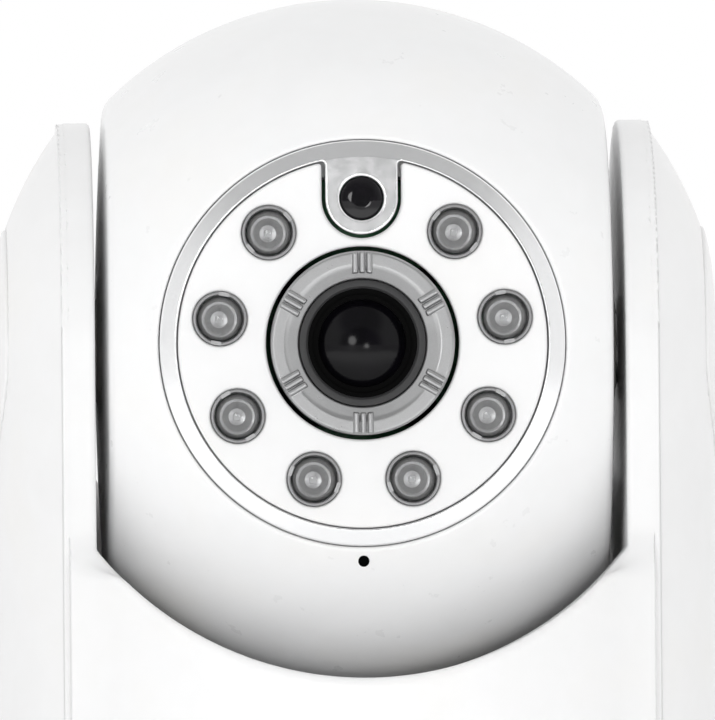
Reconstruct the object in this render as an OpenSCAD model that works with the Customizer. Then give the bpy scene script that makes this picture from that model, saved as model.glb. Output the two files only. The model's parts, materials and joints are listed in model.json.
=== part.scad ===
// Pan and tilt baby monitor camera: a ball head in a two-armed yoke on a round base.
// Millimetres. +Z is up, the lens looks along -Y, and the origin is on the table under the pan axis.
// Head parts are drawn about the tilt axis and lifted to its height by on_axis().

/* [Head] */
// Radius of the head's ball
head_r = 40.2; // [39.8:0.1:40.3]
// Height of the tilt axis above the table
tilt_z = 82; // [82:0.1:83]
// Half width of the head at the crown of its shallow side faces
side_crown = 29.6; // [29.5:0.05:29.7]
// Radius of the side faces' curve
side_dome_r = 400; // [300:1:500]
// Thickness of the moulded walls
wall = 2.2; // [2:0.1:2.3]
// Distance behind the tilt axis where the two head shells meet
split_y = 9; // [8.8:0.1:9.4]

/* [Face] */
// Outer radius of the trim ring round the face
ring_r = 23; // [22.8:0.1:23]
// Radius of the flat plate inside the trim ring
plate_r = 20.8; // [20.5:0.1:20.8]
// Distance from the lens to each infrared lamp
lamp_pitch_r = 16.4; // [16.2:0.1:16.6]
// Radius of an infrared lamp
lamp_r = 2.5; // [2.4:0.05:2.5]
// Angle between neighbouring lamps, with one place left for the light sensor
lamp_step = 40; // [38:1:42]
// Radius of the dark window over the light sensor
window_r = 2.45; // [2.3:0.05:2.5]
// Distance of the microphone hole below the lens
mic_drop = 24.7; // [24.5:0.1:25]

/* [Lens] */
// Outer radius of the ribbed focus ring
focus_r = 10.45; // [10:0.05:10.6]
// Radius of the threaded part of the lens barrel
thread_r = 6; // [5.8:0.1:6]
// Radius of the glass
glass_r = 4.98; // [4.5:0.02:5]
// Number of grip ribs on the focus ring
grip_ribs = 6; // [3:1:10]

/* [Yoke] */
// Half distance between the inner faces of the arms
arm_in = 30.15; // [30.1:0.05:30.2]
// Half distance between the outer faces of the arm plates
arm_out = 33.2; // [33:0.1:33.4]
// Radius of the yoke's round body
yoke_r = 42.3; // [42:0.1:42.4]
// Depth of the cradle's floor below the tilt axis
cradle_drop = 43; // [42.8:0.1:43.2]
// Radius of the round space that the head swings in
cradle_r = 41.4; // [41.2:0.1:41.8]
// Radius of the round opening in the cradle's front wall
mouth_r = 38; // [37.5:0.1:38.5]
// Corner radius of the cradle
cradle_corner = 9; // [7:0.5:9]

/* [Base] */
// Radius of the base where it meets the table
base_r = 50; // [50:0.5:52]
// Radius at the top of the base's flared side
base_neck_r = 44; // [44:0.2:45]
// Height of the deck that the yoke turns on
deck_z = 30; // [30:0.05:30.1]

/* [Drive] */
// Teeth on the fixed pan gear
pan_teeth = 48; // [48:1:48]
// Teeth on the fixed tilt gear
tilt_teeth = 30; // [30:1:30]
// Teeth on each motor pinion
pinion_teeth = 12; // [12:1:12]
// Module of the pan gears
pan_module = 1; // [1:0.1:1]
// Module of the tilt gears
tilt_module = 0.8; // [0.8:0.1:0.8]
// Pressure angle of all gears
pressure_angle = 25; // [23:1:25]
// Thinning of each tooth at the pitch line
backlash = 0.08; // [0.06:0.01:0.12]
// Half angle of each pan stop
stop_half = 14.6; // [12:0.1:14.6]

/* [Hidden] */
$fn = 96;
eps = 0.01;

// Planes of the face, measured from the tilt axis, front to back
plate_front = -33.2;
plate_back = -31.2;
seat_y = -30.4;
lamp_foot_y = -26.6;
ledge_y = -25;
seat_back = -24;
sensor_y = -12;
board_t = 1.6;
seat_bore = 19.4;
head_cut = 60;

// Lamps from the first one right of the sensor, anticlockwise seen from the front
lamp_angles = [for (i = [1 : 8]) 90 - lamp_step * i];
lamp_hole_r = lamp_r + 0.6;
tab_r = 4.1;
tab_gap_r = tab_r + 0.4;

// Fasteners
head_bosses = [for (x = [-20, 20], z = [-24, 24]) [x, z]];
board_posts = [for (x = [-15.8, 15.8], z = [-15.8, 15.8]) [x, z]];
cover_bosses = [for (x = [-36, 36], y = [-17, 17]) [x, y]];
turntable_bosses = [for (x = [-24, 24], y = [-24, 24]) [x, y]];
board_bosses = [[-27, -6], [20.5, 18], [-20.5, 33.5]];
feet = [for (x = [-28, 28], y = [-28, 28]) [x, y]];
pilot_r = 1.3;
shank_r = 1.25;

// Yoke, measured from the tilt axis
foot_drop = tilt_z - deck_z - 0.6;
shoulder_drop = 26;
arm_r = sqrt(yoke_r * yoke_r - arm_out * arm_out);
arm_flat = 41.4;
cap_r = 14;
cap_proud = 0.25;

// Tilt drive, measured from the tilt axis
tilt_centres = (tilt_teeth + pinion_teeth) * tilt_module / 2;
tilt_gear_x = 20;
tilt_gear_w = 4;
motor_face_x = 17.5;
motor_y = tilt_centres + 2.5;
motor_z = 4.33;
motor_ear = 11.5;
axle_r = 4;

// Base
cover_z = 1.2;
cover_top = 3.6;
flare_z = 4;
neck_z = 26;
side_steps = 9;
shoulder_r = 4;
port_z = 15;
jack_x = -11;
button_x = 12;
pocket_y = 40;
pocket_wall_y = 37.8;
board_z = 8;
board_top = board_z + board_t;

// Pan drive
pan_centres = (pan_teeth + pinion_teeth) * pan_module / 2;
pan_motor_x = 24;
pan_ear_y = 17;
pan_gear_z = 22;
pan_gear_top = 26;
shaft_r = 9.9;
addendum = 0.85;
dedendum = 1.1;
flank_steps = 4;

// ---- Shared shapes ----

module rod_x(x0, x1, r) translate([x0, 0, 0]) rotate([0, 90, 0]) cylinder(h = x1 - x0, r = r);

module rod_y(y0, y1, r) translate([0, y0, 0]) rotate([-90, 0, 0]) cylinder(h = y1 - y0, r = r);

module rod_z(z0, z1, r) translate([0, 0, z0]) cylinder(h = z1 - z0, r = r);

module block(from, to) translate(from) cube(to - from);

module at_xz(p) translate([p[0], 0, p[1]]) children();

module at_xy(p) translate([p[0], p[1], 0]) children();

module at_yz(p) translate([0, p[0], p[1]]) children();

module on_axis() translate([0, 0, tilt_z]) children();

module tube_x(x0, x1, r_out, r_in) {
    difference() {
        rod_x(x0, x1, r_out);
        rod_x(x0 - 1, x1 + 1, r_in);
    }
}

module tube_y(y0, y1, r_out, r_in) {
    difference() {
        rod_y(y0, y1, r_out);
        rod_y(y0 - 1, y1 + 1, r_in);
    }
}

module tube_z(z0, z1, r_out, r_in) {
    difference() {
        rod_z(z0, z1, r_out);
        rod_z(z0 - 1, z1 + 1, r_in);
    }
}

// Upright slot with round ends, cut along Y
module slot_y(y0, y1, x, z0, z1, r) {
    block([x - r, y0, z0 + r], [x + r, y1, z1 - r]);
    at_xz([x, z0 + r]) rod_y(y0, y1, r);
    at_xz([x, z1 - r]) rod_y(y0, y1, r);
}

// Part of a ring, from mid - half to mid + half degrees
module sector(z0, z1, r_out, r_in, mid, half) {
    reach = 2 * r_out;
    intersection() {
        tube_z(z0, z1, r_out, r_in);
        translate([0, 0, z0 - 1])
            linear_extrude(z1 - z0 + 2)
                polygon([
                    [0, 0],
                    [reach * cos(mid - half), reach * sin(mid - half)],
                    [reach * cos(mid + half), reach * sin(mid + half)]
                ]);
    }
}

// Angle in degrees that an involute has unrolled through where its pressure angle is a
function involute(a) = tan(a) * 180 / PI - a;

// Half of one tooth's angle at radius r
function tooth_half(r, teeth, pitch_r) =
    let (base = pitch_r * cos(pressure_angle))
    90 / teeth - backlash / 2 / pitch_r * 180 / PI
        + involute(pressure_angle) - involute(acos(base / max(r, base)));

function gear_outline(teeth, pitch_r, size) = [
    for (i = [0 : teeth - 1], side = [-1, 1], k = [0 : flank_steps])
        let (
            step = side < 0 ? k : flank_steps - k,
            r = pitch_r - dedendum * size + (addendum + dedendum) * size * step / flank_steps,
            a = 360 * i / teeth + side * tooth_half(r, teeth, pitch_r)
        )
        [r * cos(a), r * sin(a)]
];

module gear(teeth, size, width) {
    linear_extrude(width) polygon(gear_outline(teeth, teeth * size / 2, size));
}

// ---- Base ----

// Height and radius points of the base's side, drawn in by inset, from z0 up to the deck
function base_outline(inset, z0) = concat(
    [[0, z0], [base_r - inset, z0], [base_r - inset, flare_z]],
    [for (k = [1 : side_steps - 1])
        let (z = flare_z + (neck_z - flare_z) * k / side_steps)
        [base_side_r(z) - inset, z]],
    [for (a = [0 : 15 : 90])
        [base_neck_r - shoulder_r + (shoulder_r - inset) * cos(a), neck_z + (shoulder_r - inset) * sin(a)]],
    [[0, deck_z - inset]]
);

function base_side_r(z) =
    base_neck_r + (base_r - base_neck_r) * pow((neck_z - z) / (neck_z - flare_z), 1.8);

module base_form(inset, z0) {
    rotate_extrude() polygon(base_outline(inset, z0));
}

module rubber_feet() {
    color("dimgray")
        for (p = feet)
            at_xy(p) {
                rod_z(0.4, 2.2, 5);
                cylinder(h = 0.4, r1 = 4.6, r2 = 5);
            }
}

module base_cover() {
    color("whitesmoke")
        difference() {
            union() {
                rod_z(cover_z, cover_top, base_r - wall - 0.2);
                rod_z(cover_z, 10.5, 7);
                for (p = board_bosses) at_xy(p) rod_z(cover_z, board_z, 2.6);
            }
            rod_z(0, 9.35, 5.02);
            for (p = feet) at_xy(p) rod_z(0, 2.2, 5.05);
            for (p = cover_bosses) at_xy(p) rod_z(0, 2.6, 3);
            for (p = cover_bosses) at_xy(p) rod_z(0, 5, 1.6);
            for (p = board_bosses) at_xy(p) rod_z(4, board_z + 1, 1.05);
            for (i = [-2 : 2]) speaker_slot(4 * i - 2);
        }
}

// One slot of the grille over the speaker
module speaker_slot(x) {
    block([x - 0.8, -34, 0], [x + 0.8, -20, 5]);
    at_xy([x, -34]) rod_z(0, 5, 0.8);
    at_xy([x, -20]) rod_z(0, 5, 0.8);
}

module base_housing() {
    color("white")
        difference() {
            union() {
                difference() {
                    base_form(0, cover_z);
                    base_form(wall, 0);
                }
                intersection() {
                    base_form(0.3, cover_z);
                    block([-20.2, pocket_wall_y, 6], [20.2, base_r, 24]);
                }
                for (p = cover_bosses) at_xy(p) rod_z(cover_top, deck_z - wall + eps, 3.5);
                for (s = [-1, 1]) at_xy([pan_motor_x, s * pan_ear_y]) rod_z(20, deck_z - wall + eps, 2.8);
                sector(26.2, deck_z - wall + eps, 17, 13.6, -90, stop_half);
            }
            rod_z(deck_z - wall - 1, deck_z + 1, 12.05);
            for (p = cover_bosses) at_xy(p) rod_z(cover_top - 1, 15, pilot_r);
            for (s = [-1, 1]) at_xy([pan_motor_x, s * pan_ear_y]) rod_z(19, 27, pilot_r);
            block([-18, pocket_y, 8], [18, base_r + 5, 22]);
            at_xz([jack_x, port_z]) rod_y(pocket_wall_y - 1, pocket_y + 1, 3.3);
            at_xz([button_x, port_z]) rod_y(pocket_wall_y - 1, pocket_y + 1, 2.6);
            block([-2.2, pocket_wall_y - 1, 13.5], [4.2, pocket_y + 1, 16.5]);
            at_xz([0, port_z]) rod_y(-base_r, -40, 1.55);
        }
}

module base_screws() {
    color("silver")
        for (p = cover_bosses)
            at_xy(p) {
                rod_z(1.3, 2.6, 2.8);
                rod_z(2.6 - eps, 12, shank_r);
            }
}

module base_inner_screws() {
    color("silver") {
        for (p = board_bosses)
            at_xy(p) {
                rod_z(board_top, board_top + 1.4, 2.2);
                rod_z(4.6, board_top + eps, 1);
            }
        for (s = [-1, 1])
            at_xy([pan_motor_x, s * pan_ear_y]) {
                rod_z(17.7, 19.2, 2.4);
                rod_z(19.2 - eps, 25, shank_r);
            }
    }
}

module thread_insert() {
    color("goldenrod")
        difference() {
            rod_z(cover_z, 9.3, 5);
            rod_z(cover_z - 1, cover_z + 7, 3);
        }
}

module main_board() {
    color("darkgreen")
        difference() {
            translate([0, 0, board_z])
                linear_extrude(board_t)
                    polygon([
                        [-31, -10], [-9, -10], [-9, 14], [24, 14],
                        [24, 37.5], [-24, 37.5], [-24, 20], [-31, 20]
                    ]);
            for (p = board_bosses) at_xy(p) rod_z(board_z - 1, board_top + 1, 1.1);
        }
}

module speaker() {
    color("dimgray")
        at_xy([-2, -27]) {
            rod_z(cover_top, 5.6, 13.5);
            translate([0, 0, 5.6 - eps]) cylinder(h = 1.4, r1 = 12, r2 = 8);
            rod_z(7 - eps, 9.5, 8);
        }
}

module dc_jack() {
    color("black") {
        difference() {
            block([jack_x - 4.5, 26, board_top], [jack_x + 4.5, 37.7, port_z + 5.4]);
            at_xz([jack_x, port_z]) rod_y(28, 38, 2.85);
        }
        at_xz([jack_x, port_z]) rod_y(28 - eps, 36.5, 1);
    }
}

module switch_body() {
    color("dimgray") block([-5, 32.5, board_top], [7, 36.5, 17.5]);
}

module tact_switch() {
    color("dimgray") {
        block([button_x - 3, 31.5, board_top], [button_x + 3, 35.2, 18]);
        at_xz([button_x, port_z]) rod_y(35.2 - eps, 35.9, 1.6);
    }
}

module status_light() {
    color("honeydew")
        at_xz([0, port_z]) {
            rod_y(-45.9, -38, 1.5);
            rod_y(-40.4, -38.6, 2.6);
        }
}

module pan_motor() {
    color("silver")
        difference() {
            union() {
                at_xy([pan_motor_x, 0]) rod_z(7, 20, 12);
                block([pan_motor_x - 3.5, -pan_ear_y, 19.2], [pan_motor_x + 3.5, pan_ear_y, 20]);
                for (s = [-1, 1]) at_xy([pan_motor_x, s * pan_ear_y]) rod_z(19.2, 20, 3.5);
                at_xy([pan_centres, 0]) rod_z(19, 21.2, 4.5);
            }
            at_xy([pan_centres, 0]) rod_z(20.1, 22, 2.55);
            for (s = [-1, 1]) at_xy([pan_motor_x, s * pan_ear_y]) rod_z(18, 21, 1.4);
        }
}

module pan_bearing() {
    color("ivory") {
        tube_z(deck_z - wall, deck_z + eps, 12, shaft_r + 0.05);
        tube_z(deck_z, deck_z + 0.55, 15, shaft_r + 0.05);
    }
}

module power_knob() {
    color("gray") {
        block([-3.5, 36.6, 13], [2.5, 37.6, 17]);
        block([-2, 37.6 - eps, 13.7], [1, 41, 16.3]);
    }
}

module pair_button() {
    color("gray")
        at_xz([button_x, port_z]) {
            rod_y(36.6, 37.6, 3.2);
            rod_y(37.6 - eps, 41.2, 2.4);
        }
}

module pan_pinion() {
    color("white")
        at_xy([pan_centres, 0]) {
            translate([0, 0, pan_gear_z])
                rotate(180 / pinion_teeth)
                    gear(pinion_teeth, pan_module, pan_gear_top - pan_gear_z);
            rod_z(20.2, pan_gear_z + eps, 2.5);
        }
}

// ---- Yoke ----

// Outline of the cradle seen from the front, grown outwards
module cradle_outline(grow) {
    half = arm_in + grow;
    r = cradle_corner + grow;
    floor_z = -cradle_drop - grow;
    translate([-half, floor_z + r]) square([2 * half, 80]);
    translate([r - half, floor_z]) square([2 * (half - r), r + 1]);
    for (s = [-1, 1]) translate([s * (half - r), floor_z + r]) circle(r);
}

// Round space that the head swings in, open through a round mouth in front and closed behind
module cradle(grow) {
    intersection() {
        translate([0, 50, 0]) rotate([90, 0, 0]) linear_extrude(100) cradle_outline(grow);
        union() {
            sphere(cradle_r + grow);
            rod_y(-60, 0, mouth_r + grow);
        }
    }
}

// Side outline of an arm, right across the yoke
module arms(half_x) {
    rod_x(-half_x, half_x, arm_r);
    block([-half_x, -arm_r, -foot_drop], [half_x, arm_r, 0]);
}

module yoke_frame() {
    color("white")
        on_axis()
            difference() {
                union() {
                    arms(arm_out);
                    intersection() {
                        rod_z(-foot_drop, -shoulder_drop, yoke_r);
                        block([-arm_out, -50, -60], [arm_out, 50, 0]);
                    }
                }
                cradle(0);
                difference() {
                    intersection() {
                        rod_z(-foot_drop - 1, -shoulder_drop - wall, yoke_r - wall);
                        block([-31, -50, -60], [31, 50, 0]);
                    }
                    cradle(wall);
                    for (p = turntable_bosses) at_xy(p) rod_z(2.4 - foot_drop, -cradle_drop, 3.2);
                }
                for (p = turntable_bosses) at_xy(p) rod_z(-foot_drop, -44.2, pilot_r);
                rod_x(-arm_out - 1, -arm_in + 1, 8.05);
                rod_x(arm_in - 1, arm_out + 1, axle_r + 0.05);
                for (s = [-1, 1]) block([s * 32.2 - 2, -8, -48.4], [s * 32.2 + 2, 8, -37]);
            }
}

// Round above the tilt axis and straight below it
module arm_form(r, drop) {
    rotate_extrude()
        intersection() {
            union() {
                circle(r);
                translate([0, -drop]) square([r, drop]);
            }
            translate([0, -drop]) square([r + 1, drop + r + 1]);
        }
}

module arm_cover() {
    color("white")
        on_axis()
            difference() {
                intersection() {
                    arm_form(yoke_r, foot_drop);
                    block([arm_out, -50, -60], [arm_flat, 50, 50]);
                }
                intersection() {
                    arm_form(yoke_r - 2, foot_drop - 2);
                    block([arm_out - 1, -50, -60], [arm_flat - 2, 50, 50]);
                }
                rod_x(arm_out, arm_flat + 1, cap_r + 0.1);
            }
}

module arm_cover_left() mirror([1, 0, 0]) arm_cover();

module arm_cover_right() arm_cover();

module pivot_cap() {
    color("white")
        on_axis()
            intersection() {
                rod_x(38.4, arm_flat + cap_proud, cap_r);
                arm_form(yoke_r + cap_proud, foot_drop);
            }
}

module pivot_cap_left() mirror([1, 0, 0]) pivot_cap();

module pivot_cap_right() pivot_cap();

module turntable() {
    disc_z = deck_z + 0.6;
    color("lightgray")
        difference() {
            union() {
                intersection() {
                    rod_z(disc_z, disc_z + 2.4, yoke_r - wall - 0.3);
                    block([-30.8, -50, 0], [30.8, 50, 60]);
                }
                rod_z(20.6, disc_z + eps, shaft_r);
            }
            rod_z(20, disc_z + 3, 7.5);
            for (p = turntable_bosses) at_xy(p) rod_z(disc_z - 1, disc_z + 1.4, 2.8);
            for (p = turntable_bosses) at_xy(p) rod_z(disc_z - 1, disc_z + 3, 1.5);
        }
}

module turntable_screws() {
    color("silver")
        for (p = turntable_bosses)
            at_xy(p) {
                rod_z(deck_z + 0.7, deck_z + 2, 2.6);
                rod_z(deck_z + 2 - eps, deck_z + 7, shank_r);
            }
}

module pan_gear() {
    color("ivory")
        difference() {
            union() {
                translate([0, 0, pan_gear_z])
                    gear(pan_teeth, pan_module, pan_gear_top - pan_gear_z);
                rod_z(pan_gear_top - eps, 27.5, 13);
                sector(pan_gear_top - eps, 27.5, 17, 12.5, 90, stop_half);
            }
            rod_z(pan_gear_z - 1, 28, shaft_r + 0.02);
        }
}

module pan_clip() {
    color("silver") tube_z(20.8, 21.8, 12.5, shaft_r + 0.02);
}

module tilt_axle() {
    color("silver")
        on_axis() {
            rod_x(tilt_gear_x - 0.2, arm_out + eps, axle_r);
            rod_x(arm_out, arm_out + 2, 8);
        }
}

module tilt_gear() {
    color("ivory")
        on_axis()
            difference() {
                translate([tilt_gear_x, 0, 0])
                    rotate([0, 90, 0])
                        gear(tilt_teeth, tilt_module, tilt_gear_w);
                rod_x(tilt_gear_x - 1, tilt_gear_x + tilt_gear_w + 1, axle_r + 0.02);
            }
}

module arm_bush_left() {
    color("ivory")
        on_axis() {
            tube_x(-arm_out - eps, -arm_in, 8, 5.95);
            tube_x(-arm_out - 1, -arm_out, 10, 5.95);
        }
}

// Wires from the base, up the hollow shaft and the left arm, into the hollow trunnion
module arm_cable() {
    low = deck_z + 5 - tilt_z;
    out_x = -37.2;
    r = 1;
    color("black")
        on_axis() {
            rod_z(21 - tilt_z, low, r);
            at_yz([0, low]) rod_x(out_x, 0, r);
            translate([0, 0, low]) sphere(r);
            translate([out_x, 0, 0]) rod_z(low, 0, r);
            translate([out_x, 0, low]) sphere(r);
            translate([out_x, 0, 0]) sphere(r);
            rod_x(out_x, -24.5, r);
        }
}

// ---- Head ----

// Half outline of the ball with its shallow side faces; its axis is the tilt axis
module head_outline(inset) {
    intersection() {
        circle(head_r - inset);
        translate([0, side_crown - side_dome_r]) circle(side_dome_r - inset, $fn = 400);
        translate([0, side_dome_r - side_crown]) circle(side_dome_r - inset, $fn = 400);
        translate([0, -head_cut]) square([head_cut, 2 * head_cut]);
    }
}

module head_form(inset) {
    rotate([0, 90, 0]) rotate_extrude() head_outline(inset);
}

module head_wall() {
    rotate([0, 90, 0])
        rotate_extrude()
            difference() {
                head_outline(0);
                head_outline(wall);
            }
}

module head_front_shell() {
    color("white")
        on_axis()
            difference() {
                union() {
                    intersection() {
                        head_wall();
                        block([-head_cut, -head_cut, -head_cut], [head_cut, split_y, head_cut]);
                    }
                    intersection() {
                        head_form(0.5);
                        union() {
                            rod_y(-head_r, seat_back, 25.5);
                            for (p = board_posts) at_xz(p) rod_y(seat_back - 1, sensor_y, 2.5);
                            for (p = head_bosses) at_xz(p) rod_y(-head_r, split_y, 3.5);
                            at_xz([0, -mic_drop]) rod_y(-head_r, -23.5, 3.5);
                        }
                    }
                }
                rod_y(-head_r - 1, seat_y, ring_r + 0.1);
                rod_y(-head_r - 1, ledge_y, seat_bore);
                rod_y(-head_r - 1, seat_back + 1, 18);
                for (p = board_posts) at_xz(p) rod_y(-20, sensor_y + 1, 1.05);
                for (p = head_bosses) at_xz(p) rod_y(-4, split_y + 1, pilot_r);
                at_xz([0, -mic_drop]) rod_y(-head_r, -22, 0.65);
                at_xz([0, -mic_drop]) rod_y(-26, -22, 2.05);
                rod_x(-head_r, head_r, axle_r + 2);
            }
}

module head_rear_shell() {
    color("white")
        on_axis()
            difference() {
                union() {
                    intersection() {
                        head_wall();
                        block([-head_cut, split_y, -head_cut], [head_cut, head_cut, head_cut]);
                    }
                    intersection() {
                        head_form(0.5);
                        union() {
                            for (p = head_bosses) at_xz(p) rod_y(split_y, head_r, 4.4);
                            block([motor_face_x, split_y, -11], [motor_face_x + 1.9, head_r, 20]);
                        }
                    }
                }
                for (p = head_bosses) at_xz(p) rod_y(13, head_r, 2.9);
                for (p = head_bosses) at_xz(p) rod_y(split_y - 1, 14, 1.5);
                at_yz([tilt_centres, 0]) rod_x(motor_face_x - 1, motor_face_x + 3, 3.5);
                for (s = [-1, 1])
                    at_yz([motor_y, motor_z + s * motor_ear])
                        rod_x(motor_face_x - 1, motor_face_x + 3, 1.1);
                for (i = [-2 : 2]) slot_y(25, head_r + 1, 5.4 * i, -22, -12, 1);
            }
}

module face_ring() {
    tab_y = -31.4;
    color("silver")
        on_axis()
            difference() {
                union() {
                    rotate([90, 0, 0])
                        rotate_extrude()
                            polygon([
                                [ring_r, -seat_y], [ring_r, 32.75],
                                [21.1, 33.35], [21.1, -seat_y]
                            ]);
                    at_xz([0, lamp_pitch_r]) rod_y(-33.35, tab_y, tab_r);
                    block([-tab_r, -33.35, lamp_pitch_r], [tab_r, tab_y, 20.9]);
                }
                at_xz([0, lamp_pitch_r]) rod_y(-34, tab_y + 1, window_r + 0.05);
            }
}

module lamp_plate() {
    color("whitesmoke")
        on_axis()
            difference() {
                union() {
                    rod_y(plate_front, plate_back, plate_r);
                    tube_y(plate_back - eps, seat_y, plate_r, seat_bore + 0.05);
                }
                rod_y(plate_front - 1, plate_back + 1, focus_r + 0.5);
                for (a = lamp_angles)
                    at_xz(lamp_pitch_r * [cos(a), sin(a)])
                        rod_y(plate_front - 1, plate_back + 0.3, lamp_hole_r);
                at_xz([0, lamp_pitch_r]) rod_y(plate_front - 1, plate_back, tab_gap_r);
                block([-tab_gap_r, plate_front - 1, lamp_pitch_r], [tab_gap_r, plate_back, plate_r + 1]);
            }
}

module sensor_window() {
    color("black") on_axis() at_xz([0, lamp_pitch_r]) rod_y(-33, -31.6, window_r);
}

module light_sensor() {
    color("black")
        on_axis() {
            at_xz([0, lamp_pitch_r]) rod_y(-30.8, -29, 2.3);
            for (s = [-1, 1]) at_xz([s * 1.2, lamp_pitch_r]) rod_y(-29 - eps, lamp_foot_y, 0.3);
        }
}

module ir_lamp(i) {
    a = lamp_angles[i - 1];
    color("lightgray")
        on_axis()
            at_xz(lamp_pitch_r * [cos(a), sin(a)]) {
                rod_y(lamp_foot_y - 1, lamp_foot_y, lamp_r + 0.4);
                rod_y(-32.7, lamp_foot_y - 1 + eps, lamp_r);
                translate([0, -32.7, 0]) sphere(lamp_r);
            }
}

module lamp_cups() {
    color("silver")
        on_axis()
            for (a = lamp_angles)
                at_xz(lamp_pitch_r * [cos(a), sin(a)])
                    tube_y(plate_front - 0.3, plate_back, lamp_hole_r - 0.05, lamp_r + 0.05);
}

module lamp_board() {
    color("darkgreen") on_axis() tube_y(lamp_foot_y, ledge_y, seat_bore - 0.2, 11.2);
}

module lens_holder() {
    color("dimgray")
        on_axis()
            difference() {
                union() {
                    rod_y(-23, sensor_y, thread_r + 2);
                    block([-9, sensor_y - 1.5, -9], [9, sensor_y, 9]);
                }
                rod_y(-24, sensor_y + 1, thread_r + 0.05);
            }
}

module sensor_board() {
    half = 18.5;
    color("darkgreen")
        on_axis()
            difference() {
                block([-half, sensor_y, -half], [half, sensor_y + board_t, half]);
                for (p = board_posts) at_xz(p) rod_y(sensor_y - 1, sensor_y + 3, 1.1);
            }
}

module image_sensor() {
    color("slategray") on_axis() block([-3.5, sensor_y - 1, -3.5], [3.5, sensor_y, 3.5]);
}

module microphone() {
    color("silver") on_axis() at_xz([0, -mic_drop]) rod_y(-26, -23.4, 2);
}

module tilt_motor() {
    color("silver")
        on_axis()
            difference() {
                union() {
                    at_yz([motor_y, motor_z]) rod_x(4, motor_face_x, 9);
                    block(
                        [motor_face_x - 0.8, motor_y - 3, motor_z - motor_ear],
                        [motor_face_x, motor_y + 3, motor_z + motor_ear]
                    );
                    for (s = [-1, 1])
                        at_yz([motor_y, motor_z + s * motor_ear])
                            rod_x(motor_face_x - 0.8, motor_face_x, 3);
                }
                for (s = [-1, 1])
                    at_yz([motor_y, motor_z + s * motor_ear])
                        rod_x(motor_face_x - 2, motor_face_x + 1, 1.2);
            }
}

module tilt_pinion() {
    color("white")
        on_axis()
            at_yz([tilt_centres, 0]) {
                translate([tilt_gear_x, 0, 0])
                    rotate([0, 90, 0])
                        gear(pinion_teeth, tilt_module, tilt_gear_w);
                rod_x(motor_face_x + 0.1, tilt_gear_x + eps, 2.4);
            }
}

module left_trunnion() {
    color("ivory")
        on_axis()
            difference() {
                union() {
                    rod_x(-36, -25, 5.9);
                    rod_x(-27.2, -25, 9);
                }
                rod_x(-37, -24, 4.2);
            }
}

module trunnion_clip() {
    color("silver") on_axis() tube_x(-35.4, -34.4, 8.8, 5.92);
}

module head_bush_right() {
    color("ivory")
        on_axis() {
            tube_x(27.2 - eps, 29.9, 5.98, axle_r + 0.05);
            tube_x(25.6, 27.2, 8, axle_r + 0.05);
        }
}

module head_screws() {
    color("silver")
        on_axis()
            for (p = head_bosses)
                at_xz(p) {
                    rod_y(13, 15.2, 2.6);
                    rod_y(-1, 13 + eps, shank_r);
                }
}

module head_inner_screws() {
    color("silver")
        on_axis() {
            for (p = board_posts)
                at_xz(p) {
                    rod_y(sensor_y + board_t, sensor_y + board_t + 1.5, 2.2);
                    rod_y(-19, sensor_y + board_t + eps, 1);
                }
            for (s = [-1, 1])
                at_yz([motor_y, motor_z + s * motor_ear]) {
                    rod_x(motor_face_x - 2.2, motor_face_x - 0.8, 2);
                    rod_x(motor_face_x - 0.8 - eps, motor_face_x + 1.8, 1.05);
                }
        }
}

// ---- Focus group ----

module focus_ring() {
    front = 34;
    barrel_front = 33;
    bore = thread_r + 1.25;
    color("silver")
        on_axis() {
            rotate([90, 0, 0])
                rotate_extrude()
                    polygon([
                        [bore, 30.2], [focus_r, 30.2], [focus_r, front - 0.3],
                        [focus_r - 0.3, front], [8.7, front], [bore, barrel_front]
                    ]);
            for (i = [0 : grip_ribs - 1])
                rotate([0, 90 + 360 * i / grip_ribs, 0])
                    block([8.8, -front - 0.5, -1.2], [10.1, 0.4 - front, 1.2]);
        }
}

module lens_barrel() {
    front_y = -33;
    color("black")
        on_axis()
            difference() {
                union() {
                    rod_y(front_y, seat_back, thread_r + 1.2);
                    rod_y(seat_back - eps, -14.5, thread_r);
                }
                rod_y(front_y - 1, sensor_y, 5);
                translate([0, front_y - eps, 0])
                    rotate([-90, 0, 0])
                        cylinder(h = 1.2, r1 = 6.2, r2 = 5);
            }
}

module front_lens() {
    dome_r = 9;
    rim_y = -31;
    sag = dome_r - sqrt(dome_r * dome_r - glass_r * glass_r);
    color("darkslategray")
        on_axis()
            intersection() {
                rod_y(rim_y - sag - 1, rim_y + 2.4, glass_r);
                translate([0, rim_y - sag + dome_r, 0]) sphere(dome_r);
            }
}

rubber_feet();
base_cover();
base_housing();
base_screws();
base_inner_screws();
thread_insert();
main_board();
speaker();
dc_jack();
switch_body();
tact_switch();
status_light();
pan_motor();
pan_bearing();
power_knob();
pair_button();
pan_pinion();
yoke_frame();
arm_cover_left();
arm_cover_right();
pivot_cap_left();
pivot_cap_right();
turntable();
turntable_screws();
pan_gear();
pan_clip();
tilt_axle();
tilt_gear();
arm_bush_left();
arm_cable();
tilt_pinion();
head_front_shell();
head_rear_shell();
face_ring();
lamp_plate();
sensor_window();
light_sensor();
ir_lamp(1);  // ir_lamp_1
ir_lamp(2);  // ir_lamp_2
ir_lamp(3);  // ir_lamp_3
ir_lamp(4);  // ir_lamp_4
ir_lamp(5);  // ir_lamp_5
ir_lamp(6);  // ir_lamp_6
ir_lamp(7);  // ir_lamp_7
ir_lamp(8);  // ir_lamp_8
lamp_cups();
lamp_board();
lens_holder();
sensor_board();
image_sensor();
microphone();
tilt_motor();
left_trunnion();
trunnion_clip();
head_bush_right();
head_screws();
head_inner_screws();
focus_ring();
lens_barrel();
front_lens();
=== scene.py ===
import json
import math

import bmesh
import bpy
import numpy as np
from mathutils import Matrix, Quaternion, Vector


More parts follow.
